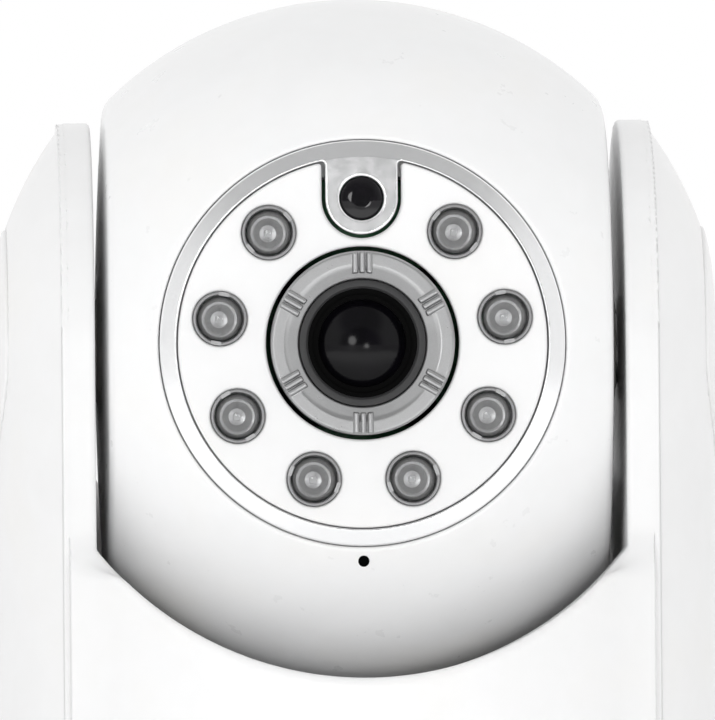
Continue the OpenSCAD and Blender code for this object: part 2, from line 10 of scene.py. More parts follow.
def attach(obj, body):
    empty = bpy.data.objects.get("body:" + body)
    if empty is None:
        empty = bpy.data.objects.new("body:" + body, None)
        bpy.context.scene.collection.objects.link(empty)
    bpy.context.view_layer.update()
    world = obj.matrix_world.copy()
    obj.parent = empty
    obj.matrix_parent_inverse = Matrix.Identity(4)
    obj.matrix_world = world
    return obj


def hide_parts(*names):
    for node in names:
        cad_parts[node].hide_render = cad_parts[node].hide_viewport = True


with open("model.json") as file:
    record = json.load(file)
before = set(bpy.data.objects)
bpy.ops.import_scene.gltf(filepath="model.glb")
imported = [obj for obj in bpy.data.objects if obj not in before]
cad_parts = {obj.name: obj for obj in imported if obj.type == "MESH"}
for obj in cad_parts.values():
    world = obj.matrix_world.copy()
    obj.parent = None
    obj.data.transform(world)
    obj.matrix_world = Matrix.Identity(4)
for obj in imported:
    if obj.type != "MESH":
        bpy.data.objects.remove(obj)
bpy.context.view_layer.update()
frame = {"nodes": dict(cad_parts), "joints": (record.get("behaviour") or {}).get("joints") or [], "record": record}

# Lengths are millimetres until a mesh is made. Head and yoke shapes are drawn about the tilt axis.
MM = 0.001
JOINTS = {j["name"]: j for j in frame["joints"]}
AXIS_Z = JOINTS["tilt"]["pos_m"][2] / MM

HEAD_R = 40.2
CROWN = 29.6
DOME_R = 400.0
WALL = 2.2
INNER_R = HEAD_R - WALL
SPLIT_Y = 9.0
RING_R = 23.1
SEAT_R = 25.5

ARM_IN = 30.15
ARM_OUT = 33.2
ARM_FLAT = 41.4
YOKE_R = 42.3
ARM_R = math.sqrt(YOKE_R**2 - ARM_OUT**2)
FOOT = -51.4
CRADLE = 43.0
CRADLE_R = 41.4
MOUTH_R = 38.0
SHOULDER = -26.0
CORNER = 9.0
CAP_R = 14.0

MIC_DROP = 24.7
SEAM = 0.25

# The face's depths in front of the tilt axis, and the radius where its plate meets its ring.
FACE_BACK = 30.4
FACE_FRONT = 33.2
FACE_R = 21.1

LAMP_PITCH = 16.4
LAMP_ANGLES = [math.radians(90 - 40 * i) for i in range(1, 9)]
LAMP_CENTRES = [(LAMP_PITCH * math.cos(a), LAMP_PITCH * math.sin(a)) for a in LAMP_ANGLES]
TAB_R = 4.1
LENS_GAP_R = 10.95


# ---- Distance fields ----

def both(a, b, r=0.0):
    """Where two solids overlap, with the new edge rounded to r."""
    rounded = np.hypot(np.maximum(a + r, 0), np.maximum(b + r, 0))
    return np.minimum(-r, np.maximum(a, b)) + rounded


def either(a, b, r=0.0):
    """Two solids joined, with a fillet of radius r."""
    filled = np.hypot(np.maximum(r - a, 0), np.maximum(r - b, 0))
    return np.maximum(r, np.minimum(a, b)) - filled


def without(a, b, r=0.0):
    """The first solid less the second, with the rim rounded to r."""
    return both(a, -b, r)


def length(*parts):
    return np.sqrt(sum(p * p for p in parts))


def box_2d(u, v, half_u, half_v, r):
    """A rectangle about the origin with corner radius r."""
    du = np.abs(u) - half_u + r
    dv = np.abs(v) - half_v + r
    return length(np.maximum(du, 0), np.maximum(dv, 0)) + np.minimum(np.maximum(du, dv), 0) - r


def smooth_step(a, b, t):
    s = np.clip((t - a) / (b - a), 0, 1)
    return s * s * (3 - 2 * s)


def gradient(field, points):
    h = 0.01
    slopes = []
    for axis in range(3):
        step = np.zeros(3)
        step[axis] = h
        slopes.append((field(*(points + step).T) - field(*(points - step).T)) / (2 * h))
    return np.stack(slopes, 1)


def unit(vectors):
    return vectors / np.maximum(np.linalg.norm(vectors, axis=1, keepdims=True), 1e-9)


def spaced(*stops):
    """Grid lines from stops (position, step): each step holds up to the next stop."""
    lines = [np.array([stops[0][0]])]
    for (a, step), (b, _) in zip(stops, stops[1:]):
        lines.append(np.linspace(a, b, max(1, round((b - a) / step)) + 1)[1:])
    return np.concatenate(lines)


def surface_of(field, xs, ys, zs):
    """Points, quads and normals of the surface where field is zero, on a grid of lines."""
    grid = np.meshgrid(xs, ys, zs, indexing="ij")
    value = field(*grid)
    inside = value < 0
    cells = tuple(n - 1 for n in value.shape)
    corners = [(i, j, k) for i in (0, 1) for j in (0, 1) for k in (0, 1)]

    def at(array, corner):
        return array[tuple(slice(c, c + n) for c, n in zip(corner, cells))]

    count = sum(at(inside, c).astype(np.int8) for c in corners)
    active = (count > 0) & (count < 8)
    index = np.full(cells, -1, np.int64)
    index[active] = np.arange(active.sum())
    total = np.zeros((active.sum(), 3))
    hits = np.zeros(active.sum())
    corner_value = {c: at(value, c)[active] for c in corners}
    corner_point = {c: np.stack([at(g, c)[active] for g in grid], 1) for c in corners}
    for a in corners:
        for axis in range(3):
            if a[axis]:
                continue
            b = tuple(1 if i == axis else a[i] for i in range(3))
            fa, fb = corner_value[a], corner_value[b]
            cross = (fa < 0) != (fb < 0)
            t = np.where(cross, fa / np.where(cross, fa - fb, 1), 0)[:, None]
            total += np.where(cross[:, None], corner_point[a] * (1 - t) + corner_point[b] * t, 0)
            hits += cross
    points = total / hits[:, None]
    for _ in range(4):
        slope = gradient(field, points)
        error = field(*points.T)
        move = slope * (error / np.maximum((slope**2).sum(1), 0.2))[:, None]
        points = points - np.clip(move, -0.4, 0.4)
    quads = []
    for axis in range(3):
        u, v = (axis + 1) % 3, (axis + 2) % 3
        lo = [slice(None)] * 3
        hi = [slice(None)] * 3
        lo[axis], hi[axis] = slice(0, -1), slice(1, None)
        for side in (u, v):
            lo[side] = hi[side] = slice(1, -1)
        start, end = inside[tuple(lo)], inside[tuple(hi)]

        def cell(du, dv):
            s = [slice(None)] * 3
            s[u] = slice(1 + du, cells[u] + du)
            s[v] = slice(1 + dv, cells[v] + dv)
            return index[tuple(s)]

        ring = [cell(-1, -1), cell(0, -1), cell(0, 0), cell(-1, 0)]
        for change, order in ((start & ~end, ring), (~start & end, ring[::-1])):
            quads.append(np.stack([c[change] for c in order], 1))
    return points, np.concatenate(quads), unit(gradient(field, points))


# ---- Outlines and turned shapes ----

def rounded(corners, steps=5):
    """An outline of (u, v, radius) corners with arcs at those that have a radius."""
    out = []
    for i, corner in enumerate(corners):
        p = np.array(corner[:2], float)
        r = corner[2] if len(corner) > 2 else 0
        a = np.array(corners[i - 1][:2], float) - p
        b = np.array(corners[(i + 1) % len(corners)][:2], float) - p
        reach_a, reach_b = np.linalg.norm(a), np.linalg.norm(b)
        if r <= 0 or min(reach_a, reach_b) < 1e-6:
            out.append(tuple(p))
            continue
        a, b = a / reach_a, b / reach_b
        half = math.acos(float(np.clip(a @ b, -1, 1))) / 2
        cut = min(r / math.tan(half), 0.49 * reach_a, 0.49 * reach_b)
        r = cut * math.tan(half)
        centre = p + (a + b) / np.linalg.norm(a + b) * r / math.sin(half)
        first, last = p + a * cut - centre, p + b * cut - centre
        t0 = math.atan2(first[1], first[0])
        turn = (math.atan2(last[1], last[0]) - t0 + math.pi) % (2 * math.pi) - math.pi
        for k in range(steps + 1):
            t = t0 + turn * k / steps
            out.append((centre[0] + r * math.cos(t), centre[1] + r * math.sin(t)))
    return out


def oblong(half_u, half_v, r=0.0, steps=5):
    """A rectangle's outline about the origin."""
    signs = ((-1, -1), (1, -1), (1, 1), (-1, 1))
    return rounded([(a * half_u, b * half_v, r) for a, b in signs], steps)


def grid_quads(rows, columns, closed_rows=True):
    """Quads of a sheet of rows, each a closed ring of columns."""
    i = np.arange(rows if closed_rows else rows - 1)[:, None]
    j = np.arange(columns)[None, :]
    a = i * columns + j
    b = i * columns + (j + 1) % columns
    c = (i + 1) % rows * columns + (j + 1) % columns
    d = (i + 1) % rows * columns + j
    return np.stack([a, b, c, d], -1).reshape(-1, 4)


AXES = {"front": ((1, 0, 0), (0, 0, 1), (0, -1, 0)), "back": ((1, 0, 0), (0, 0, 1), (0, 1, 0)),
        "up": ((1, 0, 0), (0, 1, 0), (0, 0, 1)), "down": ((1, 0, 0), (0, 1, 0), (0, 0, -1)),
        "right": ((0, 1, 0), (0, 0, 1), (1, 0, 0)), "left": ((0, 1, 0), (0, 0, 1), (-1, 0, 0))}


def turned(outline, toward="front", at=(0, 0, 0), segments=96):
    """A closed outline of (radius, height) points spun about an axis that points that way."""
    u, v, w = (np.array(a, float) for a in AXES[toward])
    a = np.arange(segments) * 2 * math.pi / segments
    outline = np.array(outline, float)
    ring = np.cos(a)[:, None] * u + np.sin(a)[:, None] * v
    points = outline[:, 0][:, None, None] * ring[None] + outline[:, 1][:, None, None] * w
    return points.reshape(-1, 3) + np.array(at, float), grid_quads(len(outline), segments)


def prism(outline, lo, hi, toward="front", at=(0, 0, 0)):
    """An outline of (u, v) points drawn out from lo to hi along the axis."""
    u, v, w = (np.array(a, float) for a in AXES[toward])
    flat = np.array(outline, float)
    base = flat[:, :1] * u + flat[:, 1:2] * v + np.array(at, float)
    n = len(flat)
    sides = [[i, (i + 1) % n, n + (i + 1) % n, n + i] for i in range(n)]
    caps = [list(range(n))[::-1], list(range(n, 2 * n))]
    return np.concatenate([base + lo * w, base + hi * w]), sides + caps


def joined(shapes):
    """Several shapes as one."""
    points, quads, start = [], [], 0
    for p, q in shapes:
        points.append(p)
        quads += [[i + start for i in face] for face in q]
        start += len(p)
    return np.concatenate(points), quads


# ---- Pieces ----

SHARP = math.radians(35)


def piece(name, shape, look, body, stands_for=(), lift=AXIS_Z):
    """Makes an object from (points, quads[, normals]) in millimetres and gives it to a body.
    """
    points, quads = np.asarray(shape[0], float), shape[1]
    mesh = bpy.data.meshes.new(name)
    mesh.from_pydata(((points + (0, 0, lift)) * MM).tolist(), [], [list(q) for q in quads])
    if len(shape) == 2:
        bm = bmesh.new()
        bm.from_mesh(mesh)
        bmesh.ops.remove_doubles(bm, verts=bm.verts, dist=1e-7)
        bmesh.ops.dissolve_degenerate(bm, edges=bm.edges, dist=1e-8)
        bmesh.ops.recalc_face_normals(bm, faces=bm.faces)
        bm.to_mesh(mesh)
        bm.free()
    mesh.shade_smooth()
    if len(shape) == 3:
        mesh.normals_split_custom_set_from_vertices(shape[2].tolist())
    else:
        mesh.set_sharp_from_angle(angle=SHARP)
    made = bpy.data.objects.new(name, mesh)
    bpy.context.scene.collection.objects.link(made)
    mesh.materials.append(LOOKS[look])
    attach(made, body)
    if stands_for:
        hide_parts(*stands_for)
    return made


def carve(target, cutters):
    """Cuts shapes, in millimetres about the tilt axis, out of an object's mesh."""
    for shape in cutters:
        tool_mesh = bpy.data.meshes.new("tool")
        points, quads = shape
        tool_mesh.from_pydata(((points + (0, 0, AXIS_Z)) * MM).tolist(), [], [list(q) for q in quads])
        bm = bmesh.new()
        bm.from_mesh(tool_mesh)
        bmesh.ops.remove_doubles(bm, verts=bm.verts, dist=1e-7)
        bmesh.ops.recalc_face_normals(bm, faces=bm.faces)
        bm.to_mesh(tool_mesh)
        bm.free()
        tool = bpy.data.objects.new("tool", tool_mesh)
        bpy.context.scene.collection.objects.link(tool)
        cut = target.modifiers.new("cut", "BOOLEAN")
        cut.object, cut.operation, cut.solver = tool, "DIFFERENCE", "EXACT"
        bpy.context.view_layer.update()
        evaluated = target.evaluated_get(bpy.context.evaluated_depsgraph_get())
        result = bpy.data.meshes.new_from_object(evaluated)
        target.modifiers.clear()
        old = target.data
        target.data = result
        bpy.data.meshes.remove(old)
        bpy.data.objects.remove(tool)
        bpy.data.meshes.remove(tool_mesh)
    target.data.shade_smooth()
    target.data.set_sharp_from_angle(angle=SHARP)


def shade_from(target, field):
    """Takes the normals of every corner that lies on the field's surface from the field."""
    mesh = target.data
    points = np.empty(len(mesh.vertices) * 3)
    mesh.vertices.foreach_get("co", points)
    points = points.reshape(-1, 3) / MM - (0, 0, AXIS_Z)
    slope = unit(gradient(field, points))
    on = np.abs(field(*points.T)) < 0.02
    loops = np.empty(len(mesh.loops), np.int64)
    mesh.loops.foreach_get("vertex_index", loops)
    corner = np.empty(len(mesh.loops) * 3)
    mesh.corner_normals.foreach_get("vector", corner)
    corner = corner.reshape(-1, 3)
    flat = np.empty(len(mesh.polygons) * 3)
    mesh.polygons.foreach_get("normal", flat)
    sizes = np.empty(len(mesh.polygons), np.int64)
    mesh.polygons.foreach_get("loop_total", sizes)
    flat = np.repeat(flat.reshape(-1, 3), sizes, 0)
    wanted = slope[loops]
    take = on[loops] & ((flat * wanted).sum(1) > 0.85)
    corner[take] = wanted[take]
    mesh.normals_split_custom_set(corner.tolist())


# ---- Materials ----

LOOKS = {}


class Recipe:
    """A Principled material with procedural colour, roughness and surface detail."""

    def __init__(self, name):
        self.material = bpy.data.materials.new(name)
        self.material.use_nodes = True
        self.tree = self.material.node_tree
        self.shader = self.tree.nodes["Principled BSDF"]
        self.place = self.tree.nodes.new("ShaderNodeTexCoord").outputs["Object"]
        LOOKS[name] = self.material

    def node(self, kind, **values):
        made = self.tree.nodes.new(kind)
        for key, value in values.items():
            setattr(made, key, value)
        return made

    def link(self, a, b):
        self.tree.links.new(a, b)

    def set(self, **values):
        for key, value in values.items():
            self.shader.inputs[key.replace("_", " ")].default_value = value
        return self

    def noise(self, size, detail=3.0, rough=0.55, stretch=None):
        """Noise whose features are about size millimetres across."""
        made = self.node("ShaderNodeTexNoise")
        made.inputs["Scale"].default_value = 1 / (size * MM)
        made.inputs["Detail"].default_value = detail
        made.inputs["Roughness"].default_value = rough
        place = self.place
        if stretch:
            squeeze = self.node("ShaderNodeMapping")
            squeeze.inputs["Scale"].default_value = stretch
            self.link(place, squeeze.inputs["Vector"])
            place = squeeze.outputs["Vector"]
        self.link(place, made.inputs["Vector"])
        return made.outputs["Fac"]

    def cells(self, size, feature="F1"):
        """A pattern of cells about size millimetres across."""
        made = self.node("ShaderNodeTexVoronoi", feature=feature)
        made.inputs["Scale"].default_value = 1 / (size * MM)
        self.link(self.place, made.inputs["Vector"])
        return made

    def ramp(self, value, *stops):
        """Colours blended between stops (position, colour)."""
        made = self.node("ShaderNodeValToRGB")
        elements = made.color_ramp.elements
        while len(elements) < len(stops):
            elements.new(0.5)
        for element, (position, colour) in zip(elements, stops):
            element.position = position
            element.color = (*colour, 1)
        self.link(value, made.inputs["Fac"])
        return made.outputs["Color"]

    def mix(self, factor, a, b, kind="MIX"):
        """Mixes two colours; each argument is a socket or a plain value."""
        made = self.node("ShaderNodeMix", data_type="RGBA", blend_type=kind)
        # Inputs 0, 6 and 7 are a colour mix's factor, A and B, and output 2 is its result.
        for value, socket in ((factor, made.inputs[0]), (a, made.inputs[6]), (b, made.inputs[7])):
            if hasattr(value, "is_linked"):
                self.link(value, socket)
            elif isinstance(value, tuple):
                socket.default_value = (*value, 1)
            else:
                socket.default_value = value
        return made.outputs[2]

    def span(self, value, low, high):
        """Stretches the middle of a noise's range to run from low to high."""
        made = self.node("ShaderNodeMapRange")
        for key, number in zip(("From Min", "From Max", "To Min", "To Max"), (0.3, 0.7, low, high)):
            made.inputs[key].default_value = number
        self.link(value, made.inputs["Value"])
        return made.outputs["Result"]

    def colour(self, socket):
        self.link(socket, self.shader.inputs["Base Color"])

    def roughness(self, socket):
        self.link(socket, self.shader.inputs["Roughness"])

    def bump(self, value, depth, strength=1.0):
        """Raises the surface by about depth millimetres where value is 1."""
        made = self.node("ShaderNodeBump")
        made.inputs["Distance"].default_value = depth * MM
        made.inputs["Strength"].default_value = strength
        self.link(value, made.inputs["Height"])
        self.link(made.outputs["Normal"], self.shader.inputs["Normal"])


def scaled(colour, by):
    return tuple(min(1, c * by) for c in colour)


def moulded(name, colour, rough, grain, depth, coat=0.0, scatter=0.0):
    """Injection moulded plastic: fine spark-eroded grain, soft flow marks and a faint cloudiness."""
    r = Recipe(name)
    shade = scaled(colour, 0.985)
    warm = (colour[0], colour[1] * 0.995, colour[2] * 0.985)
    flow = r.noise(14, 2, 0.5)
    tone = r.ramp(flow, (0.35, shade), (0.5, colour), (0.68, warm))
    cloud = r.ramp(r.noise(2.6, 3), (0.3, (0.988, 0.988, 0.986)), (0.7, (1, 1, 1)))
    tone = r.mix(1.0, tone, cloud, "MULTIPLY")
    r.colour(tone)
    fine = r.noise(grain, 2, 0.6)
    r.roughness(r.span(r.noise(3.5, 4, 0.55), rough - 0.03, rough + 0.04))
    r.bump(fine, depth)
    r.set(IOR=1.52)
    if coat:
        r.set(Coat_Weight=coat, Coat_Roughness=0.12)
    if scatter:
        r.set(Subsurface_Weight=scatter, Subsurface_Radius=(0.9, 0.8, 0.7), Subsurface_Scale=0.0015)
    return r


def painted_silver(name, colour, rough):
    """Silver lacquer on plastic: fine flakes, some brighter than others, under a thin clear coat."""
    r = Recipe(name)
    flakes = r.cells(0.09)
    lit = r.ramp(flakes.outputs["Color"], (0.0, scaled(colour, 0.93)), (1.0, scaled(colour, 1.05)))
    r.colour(r.mix(r.span(r.noise(7, 3), 0, 0.35), lit, scaled(colour, 0.95)))
    r.roughness(r.span(r.noise(1.4, 4, 0.7), rough - 0.03, rough + 0.05))
    r.bump(r.noise(2.2, 3), 0.004, 0.5)
    r.set(Metallic=0.85, Coat_Weight=0.35, Coat_Roughness=0.15)
    return r


def bare_metal(name, colour, rough, stretch=(1, 1, 1), scratch=0.12):
    """Turned or drawn metal, with fine marks along the stretch."""
    r = Recipe(name)
    marks = r.noise(scratch, 3, 0.7, stretch)
    stain = r.noise(5, 4, 0.6)
    r.colour(r.ramp(stain, (0.3, scaled(colour, 0.86)), (0.7, colour)))
    r.roughness(r.span(marks, rough - 0.07, rough + 0.12))
    r.bump(marks, 0.003, 0.7)
    return r.set(Metallic=1.0)


WHITE = (0.87, 0.872, 0.875)
moulded("head_white", WHITE, 0.3, 0.5, 0.0012, coat=0.25)
moulded("yoke_white", (0.85, 0.85, 0.852), 0.32, 0.5, 0.0012, coat=0.2)
moulded("base_white", (0.88, 0.881, 0.884), 0.34, 0.35, 0.004, coat=0.15)
moulded("face_white", (0.84, 0.84, 0.842), 0.4, 0.22, 0.004)
painted_silver("satin_silver", (0.88, 0.884, 0.89), 0.22)
painted_silver("grey_silver", (0.4, 0.402, 0.405), 0.3)
bare_metal("bright_cup", (0.3, 0.3, 0.305), 0.3, scratch=0.06).set(Metallic=0.6)
bare_metal("steel", (0.62, 0.62, 0.63), 0.34, (1, 1, 6))
bare_metal("brass", (0.78, 0.6, 0.32), 0.32, (1, 1, 8))
moulded("button_grey", (0.42, 0.43, 0.44), 0.45, 0.4, 0.008)

lamp = Recipe("clear_lamp")
lamp.colour(lamp.ramp(lamp.noise(1.1, 3), (0.3, (0.97, 0.975, 0.98)), (0.7, (1, 1, 1))))
lamp.roughness(lamp.span(lamp.noise(0.5, 4, 0.7), 0.0, 0.03))
lamp.bump(lamp.noise(0.7, 2), 0.003, 0.5)
lamp.set(Transmission_Weight=0.9, IOR=1.5)

pipe = Recipe("light_pipe")
pipe.colour(pipe.ramp(pipe.noise(0.8, 3), (0.3, (0.86, 0.9, 0.88)), (0.7, (0.95, 0.97, 0.96))))
pipe.roughness(pipe.span(pipe.noise(0.4, 4), 0.12, 0.22))
pipe.bump(pipe.noise(0.3, 2), 0.004, 0.5)
pipe.set(Transmission_Weight=0.75, IOR=1.49)

window = Recipe("dark_window")
tint = window.ramp(window.noise(1.2, 3), (0.3, (0.003, 0.003, 0.004)), (0.7, (0.007, 0.006, 0.008)))
window.colour(tint)
window.roughness(window.span(window.noise(0.6, 4), 0.05, 0.1))
window.bump(window.noise(1.5, 2), 0.004, 0.4)
window.set(Coat_Weight=0.3, Coat_Roughness=0.03, IOR=1.5, Specular_IOR_Level=0.2)

glass = Recipe("lens_glass")
tint = glass.ramp(glass.noise(3.2, 2), (0.3, (0.0015, 0.0015, 0.002)), (0.7, (0.003, 0.0025, 0.004)))
glass.colour(tint)
glass.roughness(glass.span(glass.noise(0.8, 3), 0.1, 0.14))
glass.bump(glass.noise(2.5, 1), 0.002, 0.3)
glass.set(IOR=1.6, Specular_IOR_Level=0.13)

moulded("black_plastic", (0.02, 0.02, 0.021), 0.42, 0.3, 0.006)
moulded("flock_black", (0.002, 0.002, 0.002), 0.85, 0.12, 0.02).set(Specular_IOR_Level=0.06)
moulded("nylon", (0.78, 0.765, 0.72), 0.42, 0.5, 0.006, scatter=0.15)

board = Recipe("board_green")
tracks = board.cells(1.3, "DISTANCE_TO_EDGE")
line = board.ramp(tracks.outputs["Distance"], (0.06, (0.02, 0.2, 0.08)), (0.1, (0.008, 0.09, 0.035)))
board.colour(board.mix(board.span(board.noise(4, 3), 0, 0.4), line, (0.01, 0.07, 0.03)))
board.roughness(board.span(board.noise(0.7, 3), 0.25, 0.4))
board.bump(tracks.outputs["Distance"], 0.03, 0.4)

rubber = Recipe("rubber")
tint = rubber.ramp(rubber.noise(2.2, 5, 0.7), (0.3, (0.018, 0.018, 0.019)), (0.7, (0.04, 0.04, 0.042)))
rubber.colour(tint)
rubber.roughness(rubber.span(rubber.noise(0.6, 4), 0.62, 0.82))
rubber.bump(rubber.noise(0.25, 3, 0.7), 0.02)

# The CAD's own meshes get the look of their slot in the record.
for entry in frame["record"]["materials"]:
    for node_name in entry.get("nodes", []):
        node = frame["nodes"][node_name]
        node.data.materials.clear()
        node.data.materials.append(LOOKS[entry["slot"]])


# ---- Head ----

COLUMNS = 320
SEAT_Y = 24.0


def ball(x, y, z, inset=0.0):
    """The head's outer form: a ball with shallow domed sides."""
    sphere = length(x, y, z) - (HEAD_R - inset)
    side = length(np.abs(x) + DOME_R - CROWN, y, z) - (DOME_R - inset)
    return both(sphere, side, 0.7)


def ball_rings(heights, inset=0.0):
    """Distance of the form from the lens axis, at each height along -Y and each angle."""
    a = np.arange(COLUMNS) * 2 * math.pi / COLUMNS
    w = np.asarray(heights, float)[:, None]
    low = np.zeros((len(heights), COLUMNS))
    high = np.full_like(low, HEAD_R + 1)
    for _ in range(44):
        mid = (low + high) / 2
        out = ball(mid * np.cos(a), -w, mid * np.sin(a), inset) > 0
        high = np.where(out, mid, high)
        low = np.where(out, low, mid)
    return (low + high) / 2


def ring_points(radii, heights):
    """Rows of points about the lens axis, from each row's radii and its height along -Y."""
    a = np.arange(COLUMNS) * 2 * math.pi / COLUMNS
    w = np.broadcast_to(np.asarray(heights, float)[:, None], radii.shape)
    return np.stack([radii * np.cos(a), -w, radii * np.sin(a)], -1)


def parting_edge(side):
    """Rows round the edge where the two shells meet: outer arc, land and inner edge."""
    turn = np.linspace(0, math.pi / 2, 5)
    heights = -SPLIT_Y + side * SEAM * (1 - np.sin(turn))
    outer = ball_rings(heights) - SEAM * (1 - np.cos(turn))[:, None]
    inner = ball_rings([-SPLIT_Y], WALL)
    return np.concatenate([ring_points(outer, heights), ring_points(inner, [-SPLIT_Y])])


def sphere_heights(r, start, end, rows):
    """Heights of rows along a sphere, evenly spread between two angles from its pole."""
    return r * np.cos(np.linspace(start, end, rows))


def on_ball(r):
    """How far forward the ball's surface is at a radius from the lens axis."""
    return math.sqrt(HEAD_R**2 - r**2)


# The front shell's rows run from the seat behind the face, round the lip and over the ball to the
# parting edge, then back to the seat along the inside.
lip = rounded([
    (18, SEAT_Y), (18, SEAT_Y + 1), (19.4, SEAT_Y + 1), (19.4, FACE_BACK), (RING_R, FACE_BACK),
    (RING_R, on_ball(RING_R), 0.35), (RING_R + 3, on_ball(RING_R + 3))], 7)[:-1]
lip_angle = math.asin(lip[-1][0] / HEAD_R)
seat_angle = math.asin(SEAT_R / INNER_R)
outer_heights = sphere_heights(HEAD_R, lip_angle, math.acos((-SPLIT_Y + SEAM) / HEAD_R), 150)[1:-1]
inner_heights = sphere_heights(INNER_R, math.acos(-SPLIT_Y / INNER_R), seat_angle, 60)[1:]
lip_radii = np.repeat(np.array([p[0] for p in lip])[:, None], COLUMNS, 1)
front_rows = np.concatenate([
    ring_points(lip_radii, [p[1] for p in lip]),
    ring_points(ball_rings(outer_heights), outer_heights),
    parting_edge(1),
    ring_points(ball_rings(inner_heights, WALL), inner_heights),
    ring_points(np.full((1, COLUMNS), SEAT_R), [SEAT_Y]),
])
shape = (front_rows.reshape(-1, 3), grid_quads(len(front_rows), COLUMNS))
front_shell = piece("head_front_shell_skin", shape, "head_white", "head", ["head_front_shell"])
carve(front_shell, [
    turned([(0, 22), (0.65, 22), (0.65, 33.5), (0, 33.5)], "front", (0, 0, -MIC_DROP), 48),
    turned([(0, -45), (6, -45), (6, 45), (0, 45)], "right"),
])
shade_from(front_shell, ball)

NEAR_POLE = 0.01
rear_heights = sphere_heights(-HEAD_R, NEAR_POLE, math.acos((SPLIT_Y + SEAM) / HEAD_R), 150)
rear_inner = sphere_heights(-INNER_R, NEAR_POLE, math.acos(SPLIT_Y / INNER_R), 60)
pole = np.zeros((1, COLUMNS))
rear_rows = np.concatenate([
    ring_points(pole, [-HEAD_R]),
    ring_points(ball_rings(rear_heights), rear_heights),
    parting_edge(-1),
    ring_points(ball_rings(rear_inner, WALL), rear_inner)[::-1],
    ring_points(pole, [WALL - HEAD_R]),
])
shape = (rear_rows.reshape(-1, 3), grid_quads(len(rear_rows), COLUMNS, False))
rear_shell = piece("head_rear_shell_skin", shape, "head_white", "head", ["head_rear_shell"])
WELLS = [(x, z) for x in (-20, 20) for z in (-24, 24)]
WELL_R = 2.9
bore = [(0, 12), (WELL_R, 12), (WELL_R, 42), (0, 42)]
vent = oblong(1, 6, 1, 8)
carve(rear_shell, [
    *[turned(bore, "back", (x, 0, z), 64) for x, z in WELLS],
    *[prism(vent, 24, 42, "back", (5.4 * i, 0, -17)) for i in range(-2, 3)],
])
shade_from(rear_shell, ball)


def well(x, z):
    """A screw's boss inside the rear shell: a tube with a floor, its mouth under the skin."""
    columns = 64
    a = np.arange(columns) * 2 * math.pi / columns
    inner, outer = WELL_R + 0.03, 4.4
    floor, foot = 13, SPLIT_Y + 0.1
    rows = []
    for r, y in ((0, floor), (inner, floor), (inner, None), (outer, None), (outer, foot), (0, foot)):
        px, pz = x + r * np.cos(a), z + r * np.sin(a)
        under_skin = np.sqrt((HEAD_R - 0.6) ** 2 - px**2 - pz**2)
        py = under_skin if y is None else np.full(columns, float(y))
        rows.append(np.stack([px, py, pz], 1))
    return np.concatenate(rows), grid_quads(len(rows), columns)


mesh_disc = rounded([(0, 29.6), (0.64, 29.6), (0.64, 30.4, 0.1), (0, 30.5)])
piece(
    "microphone_mesh", turned(mesh_disc, "front", (0, 0, -MIC_DROP), 48), "flock_black", "head")
piece("head_screw_wells", joined([well(x, z) for x, z in WELLS]), "head_white", "head")


# ---- Yoke ----

def cradle(x, y, z, grow=0.0):
    """The space that the head swings in, with its round mouth in front."""
    tall = 60
    outline = box_2d(x, z - tall + CRADLE, ARM_IN + grow, tall + grow, CORNER + grow)
    mouth = np.maximum(length(x, z) - MOUTH_R - grow, y)
    return np.maximum(outline, np.minimum(length(x, y, z) - CRADLE_R - grow, mouth))


def yoke_form(x, y, z):
    """The frame: two arms on a hollow body, with a thin lip under each arm's cover."""
    arms = np.where(z > 0, length(y, z), np.abs(y)) - ARM_R
    body = both(length(x, y) - YOKE_R, z - SHOULDER, 0.8)
    form = either(arms, body, 5.0)
    lip = both(arms + 0.1, np.abs(x) - ARM_OUT - 0.8)
    form = np.minimum(both(form, np.abs(x) - ARM_OUT, 0.02), lip)
    form = without(form, cradle(x, y, z), 0.5 + 0.5 * smooth_step(-20, -30, z))
    room = np.maximum(length(x, y) - YOKE_R + WALL, np.abs(x) - 31)
    room = np.maximum(room, z + WALL - SHOULDER)
    room = without(room, cradle(x, y, z, WALL), 0.5)
    form = without(form, room, 0.3)
    pivot = length(y, z) - np.where(x < 0, 8.05, 4.05)
    form = without(form, pivot, 0.3)
    return both(form, FOOT - z, 0.4)


# Fine lines where the arms' faces are, coarse ones between.
xs = spaced(
    (-34.3, 0.3), (-33.5, 0.15), (-32.9, 0.5), (-30.6, 0.25), (-28.0, 0.6), (28.0, 0.25), (30.6, 0.5),
    (32.9, 0.15), (33.5, 0.3), (34.3, 1))
ys = spaced((-42.6, 0.6), (42.6, 1))
zs = spaced((-51.8, 0.6), (26.4, 1))
piece("yoke_frame_body", surface_of(yoke_form, xs, ys, zs), "yoke_white", "yoke", ["yoke_frame"])


def arm_form(x, y, z, r):
    """Round above the tilt axis and straight below it."""
    return np.where(z > 0, length(x, y, z), length(x, y)) - r


def cover_form(x, y, z):
    """A hollow cover outside an arm, open at the foot and round the pivot cap."""
    side = np.abs(x)
    form = both(arm_form(x, y, z, YOKE_R), side - ARM_FLAT, 1.5)
    form = both(both(form, ARM_OUT - side, 0.02), FOOT - z, 0.4)
    hollow = both(arm_form(x, y, z, YOKE_R - 2), side - ARM_FLAT + 2, 1.0)
    form = without(form, np.maximum(hollow, FOOT + 2 - z), 0.25)
    return without(form, length(y, z) - CAP_R - 0.1, 0.25)


def cap_form(x, y, z):
    """A round cap over the pivot, standing a little proud of its cover."""
    side = np.abs(x)
    form = both(arm_form(x, y, z, YOKE_R + 0.25), side - ARM_FLAT - 0.25, 1.5)
    return both(both(form, length(y, z) - CAP_R, 0.3), 38.4 - side, 0.2)


